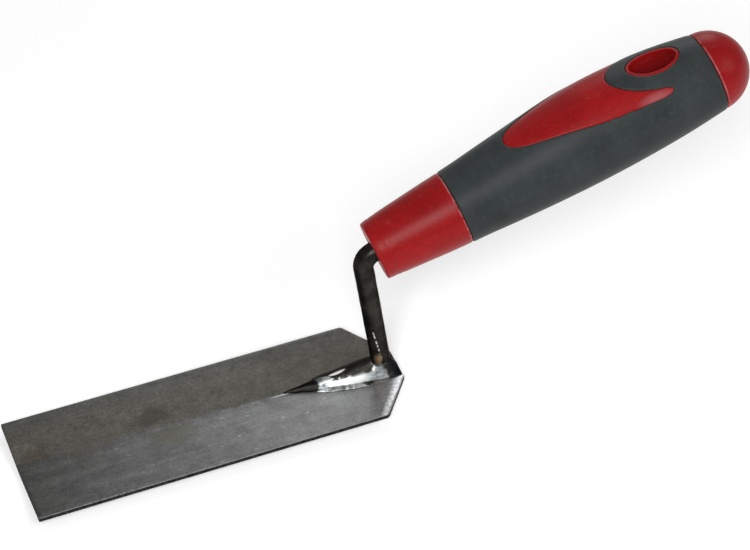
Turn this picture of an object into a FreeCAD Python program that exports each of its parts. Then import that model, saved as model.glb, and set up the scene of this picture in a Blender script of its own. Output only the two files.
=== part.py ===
import FreeCAD, Part
import math
import os
import Sketcher

V = FreeCAD.Vector

# Inside corner trowel, in mm.
# +X runs from the blade's tip to the handle, +Y across the blade, +Z up.
# The origin is the bottom centre of the whole tool's bounding box.

SIZES = {
    "tip_to_origin": 134.964,
    "crease_height": 1.3824,
    "blade_length": 140.0,
    "wing_width": 23.75,
    "sheet_thickness": 1.4,
    "wing_tilt": 5.0,
    "heel_chamfer_length": 12.7,
    "heel_nose_half_width": 6.7,
    "heel_corner_radius": 2.0,
    "outer_bend_radius": 6.0,
    "inner_bend_radius": 4.0,
    "rod_diameter": 7.1,
    "shank_foot_x": 134.2,
    "shank_foot_height": 1.4,
    "shank_lean": 7.3,
    "bend_radius": 5.75,
    "corner_x": 127.05,
    "corner_height": 56.64,
    "tang_depth": 82.0,
    "collar_radius": 5.0,
    "collar_height": 6.0,
    "handle_front_x": 131.6,
    "handle_front_height": 58.1,
    "handle_rise": 17.76,
    "nose_length": 31.5,
    "butt_start": 130.5,
    "butt_radius": 14.2,
    "butt_offset": 0.5,
    "grip_wall": 2.0,
    "hole_position": 113.0,
    "hole_length": 17.0,
    "hole_width": 10.0,
    "surround_length": 19.4,
    "surround_width": 12.4,
}

# Handle sections along its axis: name, distance, radius, rise of the centre.
HANDLE_SECTIONS = [
    ("front", 0.0, 10.5, 0.0),
    ("nose_mid", 16.0, 10.9, 0.0),
    ("nose_end", 31.5, 11.8, 0.1),
    ("flare", 45.0, 14.0, 0.7),
    ("shoulder", 62.0, 16.1, 1.6),
    ("belly_front", 80.0, 17.1, 2.2),
    ("belly_rear", 98.0, 17.1, 2.2),
    ("hang_hole", 116.0, 16.0, 1.5),
    ("butt", 130.5, 14.2, 0.5),
]

# Foot sections along the blade: name, distance from the tip, half width, height.
FOOT_SECTIONS = [
    ("point", 98.0, 0.9, 0.6),
    ("front", 108.0, 2.8, 2.3),
    ("middle", 119.0, 4.6, 4.1),
    ("shank", 131.0, 6.0, 6.0),
    ("heel", 139.4, 6.0, 1.9),
]
FOOT_TOP_SHARE = 0.4
WELD_HEIGHT_SHARE = 0.4
WELD_FIRST_SECTION = 1
WELD_WIDTHS = [0.9, 1.5, 1.9, 1.7]

# Window outline in plan: distance along the handle, half width from its top line.
WINDOW_TIP = 55.6
WINDOW_SIDE = [(56.6, 1.9), (59.5, 3.9), (64.0, 5.8), (72.0, 8.4), (80.0, 10.4), (88.0, 11.8),
               (96.0, 12.6), (104.0, 13.0), (109.0, 13.0), (112.6, 12.7)]
WINDOW_TAIL = [(114.2, 11.9), (113.2, 11.0)]
WINDOW_BACK = [(108.5, 10.1), (103.0, 8.4), (99.2, 6.0), (96.6, 3.1)]
WINDOW_END = 95.6

doc = FreeCAD.newDocument("inside_corner_trowel")


def add_sheet():
    """Put every driving size in the spreadsheet under its own alias."""
    sheet = doc.addObject("Spreadsheet::Sheet", "sizes")
    row = 1
    for name, value in SIZES.items():
        sheet.set("A%d" % row, name)
        sheet.set("B%d" % row, str(value))
        sheet.setAlias("B%d" % row, name)
        row += 1
    for prefix, sections, fields in (
        ("handle", HANDLE_SECTIONS, ("position", "radius", "offset")),
        ("foot", FOOT_SECTIONS, ("position", "half_width", "height")),
    ):
        for section in sections:
            for field, value in zip(fields, section[1:]):
                alias = "%s_%s_%s" % (prefix, section[0], field)
                sheet.set("A%d" % row, alias)
                sheet.set("B%d" % row, str(value))
                sheet.setAlias("B%d" % row, alias)
                row += 1
    doc.recompute()
    return sheet


def size(name):
    return SIZES[name]


def plane(body, role):
    """Return one of the body's own origin planes."""
    for feature in body.Origin.OriginFeatures:
        if feature.Role == role:
            return feature
    raise ValueError(role)


def new_body(name):
    body = doc.addObject("PartDesign::Body", name)
    body.Label = name
    return body


def sketch_on(body, role, name, offset=None):
    """Add a sketch on an origin plane, optionally lifted along its normal."""
    sketch = body.newObject("Sketcher::SketchObject", name)
    sketch.AttachmentSupport = [(plane(body, role), "")]
    sketch.MapMode = "FlatFace"
    if offset is not None:
        sketch.setExpression("AttachmentOffset.Base.z", offset)
    return sketch


def polygon(sketch, points):
    """Draw a closed polygon and join its corners."""
    count = len(points)
    first = sketch.GeometryCount
    for index in range(count):
        start = V(points[index][0], points[index][1], 0)
        end = V(points[(index + 1) % count][0], points[(index + 1) % count][1], 0)
        sketch.addGeometry(Part.LineSegment(start, end), False)
    for index in range(count):
        sketch.addConstraint(
            Sketcher.Constraint("Coincident", first + index, 2, first + (index + 1) % count, 1))


def circle(sketch, radius_name, offset_name=None):
    """Draw a circle whose radius, and height above the axis, follow the sheet."""
    index = sketch.addGeometry(Part.Circle(V(0, 0, 0), V(0, 0, 1), 5.0), False)
    sketch.addConstraint(Sketcher.Constraint("DistanceX", -1, 1, index, 3, 0.0))
    rise = sketch.addConstraint(Sketcher.Constraint("DistanceY", -1, 1, index, 3, 0.0))
    radius = sketch.addConstraint(Sketcher.Constraint("Radius", index, 5.0))
    sketch.setExpression("Constraints[%d]" % radius, radius_name)
    if offset_name is not None:
        sketch.setExpression("Constraints[%d]" % rise, offset_name)


def pad(body, sketch, name, length, both_ways=False):
    feature = body.newObject("PartDesign::Pad", name)
    feature.Profile = sketch
    feature.Midplane = both_ways
    feature.setExpression("Length", length)
    return feature


def in_blade_frame(body):
    """Set the body down with the tip and the crease at the design position."""
    body.setExpression("Placement.Base.x", "-sizes.tip_to_origin")
    body.setExpression("Placement.Base.z", "sizes.crease_height")


def in_handle_frame(feature):
    """Lay the feature's own X axis along the handle, starting at its front face."""
    feature.Placement = FreeCAD.Placement(V(0, 0, 0), FreeCAD.Rotation(V(0, -1, 0), size("handle_rise")))
    feature.setExpression("Placement.Base.x", "sizes.handle_front_x - sizes.tip_to_origin")
    feature.setExpression("Placement.Base.z", "sizes.handle_front_height + sizes.crease_height")
    feature.setExpression("Placement.Rotation.Angle", "sizes.handle_rise")


def wing_point(across, lift=0.0):
    """Point on the blade's upper surface, at a distance across in plan."""
    return (across, abs(across) * math.tan(math.radians(size("wing_tilt"))) + lift)


def make_blade():
    """Creased sheet with a straight tip and a chamfered heel."""
    body = new_body("blade")
    tilt = math.radians(size("wing_tilt"))
    width = size("wing_width")
    sheet = size("sheet_thickness")
    top = (width * math.cos(tilt), width * math.sin(tilt))
    under = (top[0] + sheet * math.sin(tilt), top[1] - sheet * math.cos(tilt))
    profile = sketch_on(body, "YZ_Plane", "blade_profile")
    polygon(profile, [(0, 0), top, under, (0, -sheet / math.cos(tilt)),
                      (-under[0], under[1]), (-top[0], top[1])])
    doc.recompute()
    bind_blade_profile(profile)
    doc.recompute()
    pad(body, profile, "blade_pad", "sizes.blade_length")
    doc.recompute()
    cut_heel(body)
    round_edges(body, "heel_corners", is_heel_corner, "sizes.heel_corner_radius")
    round_edges(body, "outer_bend", is_under_crease, "sizes.outer_bend_radius")
    round_edges(body, "inner_bend", is_upper_crease, "sizes.inner_bend_radius")
    in_blade_frame(body)
    return body


def bind_blade_profile(profile):
    """Tie the cross-section to the wing width, tilt and sheet thickness."""
    profile.addConstraint(Sketcher.Constraint("Coincident", 0, 1, -1, 1))
    profile.addConstraint(Sketcher.Constraint("PointOnObject", 3, 1, -2))
    profile.addConstraint(Sketcher.Constraint("Symmetric", 0, 2, 5, 1, -2))
    profile.addConstraint(Sketcher.Constraint("Symmetric", 2, 1, 4, 1, -2))
    profile.addConstraint(Sketcher.Constraint("Perpendicular", 0, 1))
    profile.addConstraint(Sketcher.Constraint("Parallel", 0, 2))
    width = profile.addConstraint(Sketcher.Constraint("Distance", 0, size("wing_width")))
    sheet = profile.addConstraint(Sketcher.Constraint("Distance", 1, size("sheet_thickness")))
    tilt = profile.addConstraint(
        Sketcher.Constraint("Angle", -1, 1, 0, 1, math.radians(size("wing_tilt"))))
    profile.setExpression("Constraints[%d]" % width, "sizes.wing_width")
    profile.setExpression("Constraints[%d]" % sheet, "sizes.sheet_thickness")
    profile.setExpression("Constraints[%d]" % tilt, "sizes.wing_tilt * 1 deg")


def cut_heel(body):
    """Cut both heel corners back to the short straight nose."""
    length = size("blade_length")
    chamfer = size("heel_chamfer_length")
    nose = size("heel_nose_half_width")
    edge = size("wing_width")
    slope = (edge - nose) / chamfer
    beyond = 4.0
    sketch = sketch_on(body, "XY_Plane", "heel_outline")
    for side in (1, -1):
        polygon(sketch, [
            (length + beyond, side * (nose - beyond * slope)),
            (length + beyond, side * (edge + beyond * slope)),
            (length - chamfer - beyond, side * (edge + beyond * slope)),
        ])
    doc.recompute()
    pocket = body.newObject("PartDesign::Pocket", "heel_chamfers")
    pocket.Profile = sketch
    pocket.Midplane = True
    pocket.setExpression("Length", "4 * sizes.wing_width")
    doc.recompute()


def round_edges(body, name, wanted, radius):
    """Fillet every edge of the body's tip that the test accepts."""
    base = body.Tip
    chosen = []
    for index, edge in enumerate(base.Shape.Edges, 1):
        if wanted(edge):
            chosen.append("Edge%d" % index)
    fillet = body.newObject("PartDesign::Fillet", name)
    fillet.Base = (base, chosen)
    fillet.setExpression("Radius", radius)
    doc.recompute()


def edge_ends(edge):
    return [vertex.Point for vertex in edge.Vertexes]


def is_heel_corner(edge):
    start, end = edge_ends(edge)
    corner_x = size("blade_length") - size("heel_chamfer_length")
    near_corner = abs(start.x - corner_x) < 1.0 and abs(end.x - corner_x) < 1.0
    return near_corner and abs(abs(start.y) - size("wing_width")) < 1.5 and edge.Length < 3.0


def is_under_crease(edge):
    start, end = edge_ends(edge)
    centred = abs(start.y) < 0.01 and abs(end.y) < 0.01
    return centred and edge.Length > 100.0 and start.z < -1.0


def is_upper_crease(edge):
    start, end = edge_ends(edge)
    centred = abs(start.y) < 0.01 and abs(end.y) < 0.01
    return centred and edge.Length > 100.0 and abs(start.z) < 0.01


def foot_outline(half_width, height):
    """Cross-section of the foot: it beds in the crease and has a flat crown."""
    edge = wing_point(half_width)
    crown = half_width * FOOT_TOP_SHARE
    bed = bed_points(half_width)
    return bed + [edge, (crown, height), (-crown, height), (-edge[0], edge[1])]


def bed_points(half_width):
    """The foot's underside follows both wings down to the rounded crease."""
    reach = size("inner_bend_radius") * math.sin(math.radians(size("wing_tilt")))
    left = wing_point(-reach)
    right = wing_point(reach)
    return [left, right]


def make_tang():
    """One forging: pointed foot, leaning shank, bend and the tang in the handle."""
    body = new_body("tang")
    sections = []
    for name, position, half_width, height in FOOT_SECTIONS:
        sketch = sketch_on(body, "YZ_Plane", "foot_" + name, "sizes.foot_%s_position" % name)
        polygon(sketch, foot_outline(half_width, height))
        sections.append(sketch)
    doc.recompute()
    foot = body.newObject("PartDesign::AdditiveLoft", "foot")
    foot.Profile = sections[0]
    foot.Sections = sections[1:]
    foot.Ruled = True
    doc.recompute()
    add_rod(body)
    add_collar(body)
    in_blade_frame(body)
    return body


def add_rod(body):
    """Sweep the round rod up the shank, round the bend and into the handle."""
    lean = math.radians(90.0 + size("shank_lean"))
    rise = math.radians(size("handle_rise"))
    corner = V(size("corner_x"), size("corner_height"), 0)
    down = V(-math.cos(lean), -math.sin(lean), 0)
    back = V(math.cos(rise), math.sin(rise), 0)
    turn = math.acos(-down.dot(back))
    tangent = size("bend_radius") * math.tan(turn / 2.0)
    foot = corner + down * ((size("corner_height") - size("shank_foot_height")) / math.sin(lean))
    arc_start = corner + down * tangent
    arc_end = corner + back * tangent
    inward = (down + back).normalize()
    centre = corner + inward * (size("bend_radius") / math.cos(turn / 2.0))
    arc_mid = centre - inward * size("bend_radius")
    tang_end = V(size("handle_front_x"), size("handle_front_height"), 0) + back * size("tang_depth")
    path = sketch_on(body, "XZ_Plane", "rod_path")
    path.addGeometry(Part.LineSegment(foot, arc_start), False)
    path.addGeometry(Part.Arc(arc_start, arc_mid, arc_end), False)
    path.addGeometry(Part.LineSegment(arc_end, tang_end), False)
    doc.recompute()
    profile = body.newObject("Sketcher::SketchObject", "rod_profile")
    profile.AttachmentSupport = [(path, "Edge1")]
    profile.MapMode = "NormalToEdge"
    circle(profile, "sizes.rod_diameter / 2")
    doc.recompute()
    rod = body.newObject("PartDesign::AdditivePipe", "rod")
    rod.Profile = profile
    rod.Spine = (path, ["Edge1", "Edge2", "Edge3"])
    doc.recompute()


def add_collar(body):
    """Flare the shank's root where it runs into the foot."""
    lean = math.radians(size("shank_lean"))
    foot_x = size("corner_x") + (size("corner_height") - size("shank_foot_height")) * math.tan(lean)
    cone = body.newObject("PartDesign::AdditiveCone", "shank_flare")
    cone.setExpression("Radius1", "sizes.collar_radius")
    cone.setExpression("Radius2", "sizes.rod_diameter / 2 + 0.01")
    cone.setExpression("Height", "sizes.collar_height")
    cone.Placement = FreeCAD.Placement(
        V(foot_x, 0, size("shank_foot_height")), FreeCAD.Rotation(V(0, -1, 0), size("shank_lean")))
    doc.recompute()


def make_foot_weld(name, side):
    """Weld run along one side of the foot, bedded on the wing and the foot's flank."""
    body = new_body(name)
    sections = []
    for step, extra in enumerate(WELD_WIDTHS):
        label, position, half_width, height = FOOT_SECTIONS[WELD_FIRST_SECTION + step]
        inner = wing_point(half_width)
        outer = wing_point(half_width + extra)
        crown = (half_width * FOOT_TOP_SHARE, height)
        top = tuple(low + (high - low) * WELD_HEIGHT_SHARE for low, high in zip(inner, crown))
        sketch = sketch_on(body, "YZ_Plane", "%s_%s" % (name, label), "sizes.foot_%s_position" % label)
        polygon(sketch, [(side * point[0], point[1]) for point in (inner, outer, top)])
        sections.append(sketch)
    doc.recompute()
    bead = body.newObject("PartDesign::AdditiveLoft", name + "_bead")
    bead.Profile = sections[0]
    bead.Sections = sections[1:]
    bead.Ruled = True
    doc.recompute()
    in_blade_frame(body)
    return body


def handle_loft(name, sections, radius_trim=""):
    """Smooth loft through circular handle sections."""
    body = new_body(name)
    sketches = []
    for label, position, radius, offset in sections:
        sketch = sketch_on(body, "YZ_Plane", "%s_%s" % (name, label), "sizes.handle_%s_position" % label)
        circle(sketch, "sizes.handle_%s_radius%s" % (label, radius_trim), "sizes.handle_%s_offset" % label)
        sketches.append(sketch)
    doc.recompute()
    loft = body.newObject("PartDesign::AdditiveLoft", name + "_loft")
    loft.Profile = sketches[0]
    loft.Sections = sketches[1:]
    doc.recompute()
    return body


def make_envelope():
    """Whole outside of the handle, with its domed butt and eased front rim."""
    body = handle_loft("handle_envelope", HANDLE_SECTIONS)
    butt = body.newObject("PartDesign::AdditiveSphere", "butt_dome")
    butt.setExpression("Radius", "sizes.butt_radius")
    butt.setExpression("Placement.Base.x", "sizes.butt_start")
    butt.setExpression("Placement.Base.z", "sizes.butt_offset")
    doc.recompute()
    in_handle_frame(body)
    return body


def plan_prism(name, draw, height, both_ways):
    """Upright prism whose outline is drawn in plan on the handle's middle plane."""
    body = new_body(name)
    sketch = sketch_on(body, "XY_Plane", name + "_outline")
    draw(sketch)
    doc.recompute()
    pad(body, sketch, name + "_pad", height, both_ways)
    doc.recompute()
    in_handle_frame(body)
    return body


def draw_window(sketch):
    """Spindle outline with a scooped back edge that leaves a tail on each side."""
    side = [(WINDOW_TIP, 0.0)] + WINDOW_SIDE
    back = WINDOW_BACK + [(WINDOW_END, 0.0)]
    curve(sketch, mirrored(side))
    tail_outer = WINDOW_SIDE[-1]
    tail_tip, tail_inner = WINDOW_TAIL
    curve(sketch, mirrored([back[-1]] + back[-2::-1] + [tail_inner]))
    for sign in (1, -1):
        points = [V(p[0], sign * p[1], 0) for p in (tail_outer, tail_tip, tail_inner)]
        sketch.addGeometry(Part.Arc(*points), False)


def mirrored(half):
    """Points of a curve that crosses the axis at its first point, far side first."""
    far = [(x, y) for x, y in reversed(half[1:])]
    near = [(x, -y) for x, y in half[1:]]
    return far + [half[0]] + near


def curve(sketch, points):
    spline = Part.BSplineCurve()
    spline.interpolate([V(x, y, 0) for x, y in points])
    sketch.addGeometry(spline, False)


def draw_oval(sketch, name):
    """Ellipse along the handle, centred on the hang hole, sized from the sheet."""
    half_length = size(name + "_length") / 2.0
    half_width = size(name + "_width") / 2.0
    centre = V(size("hole_position"), 0, 0)
    rim = Part.Ellipse(centre + V(half_length, 0, 0), centre + V(0, half_width, 0), centre)
    index = sketch.addGeometry(rim, False)
    sketch.exposeInternalGeometry(index)


def draw_hole(sketch):
    draw_oval(sketch, "hole")


def draw_surround(sketch):
    draw_oval(sketch, "surround")


def cut(name, base, tool):
    feature = doc.addObject("Part::Cut", name)
    feature.Label = name
    feature.Base = base
    feature.Tool = tool
    doc.recompute()
    return feature


def make_handle():
    """Soft sleeve first, then the core as everything else inside the envelope."""
    envelope = make_envelope()
    slab = doc.addObject("Part::Box", "sleeve_span")
    slab.setExpression("Length", "sizes.butt_start - sizes.nose_length")
    slab.Width = 60.0
    slab.Height = 60.0
    in_handle_frame(slab)
    centre_slab(slab)
    sleeve = doc.addObject("Part::Common", "sleeve_outside")
    sleeve.Base = envelope
    sleeve.Tool = slab
    doc.recompute()
    inside = handle_loft("sleeve_inside", HANDLE_SECTIONS[2:], " - sizes.grip_wall")
    in_handle_frame(inside)
    window = plan_prism("window", draw_window, "2 * sizes.handle_belly_front_radius", False)
    surround = plan_prism("hole_surround", draw_surround, "60 mm", True)
    grip = cut("sleeve_hollow", sleeve, inside)
    grip = cut("sleeve_window", grip, window)
    grip = cut("grip_overmould", grip, surround)
    hole = plan_prism("hang_hole", draw_hole, "60 mm", True)
    core = cut("core_outside", envelope, grip)
    core = cut("core_pierced", core, hole)
    socket = doc.addObject("Part::Cylinder", "tang_socket")
    socket.setExpression("Radius", "sizes.rod_diameter / 2")
    socket.setExpression("Height", "sizes.tang_depth")
    socket.Placement = tang_socket_placement()
    core = cut("handle_core", core, socket)
    return grip, core


def centre_slab(slab):
    """Centre the box on the handle's axis, starting where the nose ends."""
    rise = math.radians(size("handle_rise"))
    along = V(math.cos(rise), 0, math.sin(rise))
    up = V(-math.sin(rise), 0, math.cos(rise))
    start = handle_origin() + along * size("nose_length") - up * 30.0 - V(0, 30.0, 0)
    for axis in ("x", "z"):
        slab.setExpression("Placement.Base." + axis, None)
    slab.Placement = FreeCAD.Placement(start, FreeCAD.Rotation(V(0, -1, 0), size("handle_rise")))


def handle_origin():
    """Centre of the handle's front face in the tool's frame."""
    return V(size("handle_front_x") - size("tip_to_origin"), 0,
             size("handle_front_height") + size("crease_height"))


def tang_socket_placement():
    return FreeCAD.Placement(
        handle_origin(), FreeCAD.Rotation(V(0, 1, 0), 90.0 - size("handle_rise")))


def check_document():
    """Stop if any object failed or has no sound shape."""
    for item in doc.Objects:
        state = [word for word in item.State if word in ("Invalid", "Error")]
        if state:
            raise RuntimeError("%s is %s" % (item.Name, state))
        if item.isDerivedFrom("Part::Feature") and item.Shape.isNull():
            raise RuntimeError("%s has no shape" % item.Name)


def export(parts):
    os.makedirs("parts", exist_ok=True)
    for item in parts:
        if not item.Shape.isValid() or len(item.Shape.Solids) != 1:
            raise RuntimeError("%s is not one valid solid" % item.Label)
        item.Shape.exportStep(os.path.join("parts", item.Label + ".step"))


def main():
    add_sheet()
    blade = make_blade()
    tang = make_tang()
    near_weld = make_foot_weld("foot_weld_near", -1)
    far_weld = make_foot_weld("foot_weld_far", 1)
    grip, core = make_handle()
    parts = [blade, tang, near_weld, far_weld, core, grip]
    doc.recompute()
    check_document()
    for item in parts:
        box = item.Shape.BoundBox
        print("%s volume %.1f x %.2f..%.2f y %.2f..%.2f z %.2f..%.2f" % (
            item.Label, item.Shape.Volume, box.XMin, box.XMax, box.YMin, box.YMax, box.ZMin, box.ZMax))
    export(parts)


main()
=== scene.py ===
import math

import bmesh
import bpy
import numpy as np
from mathutils import Matrix, Vector, noise


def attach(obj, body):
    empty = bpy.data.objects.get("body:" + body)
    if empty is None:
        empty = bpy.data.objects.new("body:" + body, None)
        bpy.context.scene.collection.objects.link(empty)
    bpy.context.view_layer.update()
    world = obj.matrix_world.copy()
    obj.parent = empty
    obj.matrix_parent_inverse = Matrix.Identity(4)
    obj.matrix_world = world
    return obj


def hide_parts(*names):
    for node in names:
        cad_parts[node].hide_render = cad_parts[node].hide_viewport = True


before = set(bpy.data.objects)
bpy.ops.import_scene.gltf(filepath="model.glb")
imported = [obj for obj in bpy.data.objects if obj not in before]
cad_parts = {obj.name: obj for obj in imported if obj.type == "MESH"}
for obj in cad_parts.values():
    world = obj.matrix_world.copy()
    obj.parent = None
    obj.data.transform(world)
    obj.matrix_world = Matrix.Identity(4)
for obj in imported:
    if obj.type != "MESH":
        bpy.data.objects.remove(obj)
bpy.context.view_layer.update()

# Lengths of the shapes are in mm. Materials measure in metres.
MM = 0.001
TIP_TO_ORIGIN = 134.964
CREASE_HEIGHT = 1.3824
VOXEL = 0.3
WELD_VOXEL = 0.2
ROD_VOXEL = 0.3

# Blade
BLADE_LENGTH = 140.0
WING = 23.75
SHEET = 1.4
TILT = math.radians(5.0)
CHAMFER = 12.7
NOSE_HALF = 6.7
CREASE_ROUNDING = 0.9
SHEET_WAVE = 0.035
HEEL_CORNER = 2.0
NOSE_CORNER = 1.2
TIP_CORNER = 0.35
EASED_EDGE = 0.16

# Rod
ROD_RADIUS = 3.55
CORNER = Vector((127.05, 0.0, 56.64))
LEAN = math.radians(7.3)
BEND_RADIUS = 5.75
BEND_SWELL = 0.02
BEND_STEPS = 16
ROD_BOTTOM = 1.2
SHANK_STEPS = 40
FLARE = 1.7
FLARE_HEIGHT = 7.0
STUB_STEP = 2.0
STUB_STEPS = 7

# Foot and welds
FOOT_LUMP = 0.16
FOOT_BEDDING = 0.25
DRIFT = 2.0
DRIFT_FROM = 122.0
DRIFT_LENGTH = 25.0
WELD_START = 108.5
WELD_END = 135.2
WELD_FADE_IN = 108.1
WELD_FADE_OUT = 135.7
WELD_OVERLAP = 1.6
WELD_WIDTH = 1.15
WELD_BEDDING = 0.15

# Handle
RISE = math.radians(17.76)
HANDLE_FRONT = Vector((131.6, 0.0, 58.1))
NOSE_LENGTH = 31.5
BUTT_START = 130.5
BUTT_RADIUS = 14.2
BUTT_OFFSET = 0.5
GRIP_WALL = 2.0
SEAM = 0.12
SLEEVE_RIM = 0.3
STATION_STEP = 1.5
HOLE_AT = 113.0
HOLE_SIZE = (17.0, 10.0)
SURROUND_SIZE = (19.4, 12.4)
SOCKET_GAP = 0.1
SOCKET_DEPTH = 14.5
PRISM_REACH = 40.0
# The moulded window and hole sit a little towards the far side.
WINDOW_DRIFT = 0.6
WINDOW_WIDENING = 1.12
HOLE_DRIFT = 0.9

ALONG = Vector((math.cos(RISE), 0.0, math.sin(RISE)))
UP = Vector((-math.sin(RISE), 0.0, math.cos(RISE)))


def to_row(x, y, z):
    """Blade frame in mm (tip at x 0, crease at z 0) to the row frame in metres."""
    return Vector(((x - TIP_TO_ORIGIN) * MM, y * MM, (z + CREASE_HEIGHT) * MM))


def handle_to_row(a, y, v):
    """Handle frame in mm (along, across, up from the axis) to the row frame in metres."""
    p = HANDLE_FRONT + ALONG * a + UP * v
    return to_row(p.x, y, p.z)


def new_object(name, bm):
    """Turn a bmesh into an object of the scene."""
    mesh = bpy.data.meshes.new(name)
    bm.to_mesh(mesh)
    bm.free()
    obj = bpy.data.objects.new(name, mesh)
    bpy.context.scene.collection.objects.link(obj)
    return obj


def close_rings(bm, rings):
    """Skin a run of equal rings of vertices and cap both ends."""
    for first, second in zip(rings, rings[1:]):
        count = len(first)
        for k in range(count):
            after = (k + 1) % count
            bm.faces.new((first[k], first[after], second[after], second[k]))
    bm.faces.new(rings[0])
    bm.faces.new(rings[-1])
    bmesh.ops.recalc_face_normals(bm, faces=bm.faces)


def smooth(obj):
    for face in obj.data.polygons:
        face.use_smooth = True


def apply_modifiers(obj):
    """Bake the modifier stack into the mesh."""
    graph = bpy.context.evaluated_depsgraph_get()
    mesh = bpy.data.meshes.new_from_object(obj.evaluated_get(graph))
    old = obj.data
    obj.modifiers.clear()
    obj.data = mesh
    bpy.data.meshes.remove(old)


def cut_out(obj, tool):
    """Cut the tool's solid out of the object."""
    modifier = obj.modifiers.new("cut", "BOOLEAN")
    modifier.operation = "DIFFERENCE"
    modifier.solver = "MANIFOLD"
    modifier.object = tool
    apply_modifiers(obj)


def remesh(obj, voxel, rounds):
    """Even quads of the voxel size in mm, with softened edges."""
    modifier = obj.modifiers.new("remesh", "REMESH")
    modifier.mode = "VOXEL"
    modifier.voxel_size = voxel * MM
    modifier.adaptivity = 0.0
    soften = obj.modifiers.new("soften", "SMOOTH")
    soften.factor = 0.5
    soften.iterations = rounds
    apply_modifiers(obj)
    smooth(obj)


def dress(obj, *materials):
    """Give the object these materials, with every face on the first one."""
    obj.data.materials.clear()
    for material in materials:
        obj.data.materials.append(material)
    for face in obj.data.polygons:
        face.material_index = 0


def roughen(obj, depth, grain):
    """Push the surface in and out by smooth noise. Depth and grain are in mm."""
    normals = [vert.normal.copy() for vert in obj.data.vertices]
    for vert, normal in zip(obj.data.vertices, normals):
        vert.co += normal * (depth * MM * noise.noise(vert.co / (grain * MM)))
    smooth(obj)


def remove(*objs):
    for obj in objs:
        bpy.data.objects.remove(obj, do_unlink=True)


# ---------------------------------------------------------------- materials

# Brings a distance along the handle's direction, in metres, to 0 at the handle's front.
FRONT_SHIFT = -0.01494
BLACK = (0.0, 0.0, 0.0)
WHITE = (1.0, 1.0, 1.0)
# Bright steel, also used for a painted highlight on the foot's crown.
BRIGHT_STEEL_AND_HIGHLIGHT = (0.95, 0.96, 0.95)

# Stains on the blade: centre, half size, colour, strength.
# Two lie by the crease, and two rusty ones near the tip.
STAINS = [
    ((-0.085, 0.0085), (0.0085, 0.0036), (0.068, 0.062, 0.047), 0.55),
    ((-0.078, -0.0015), (0.0105, 0.0048), (0.125, 0.120, 0.092), 0.5),
    ((-0.129, 0.0050), (0.0070, 0.0060), (0.080, 0.056, 0.036), 0.5),
    ((-0.110, 0.0040), (0.0120, 0.0040), (0.130, 0.108, 0.085), 0.4),
]


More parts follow.
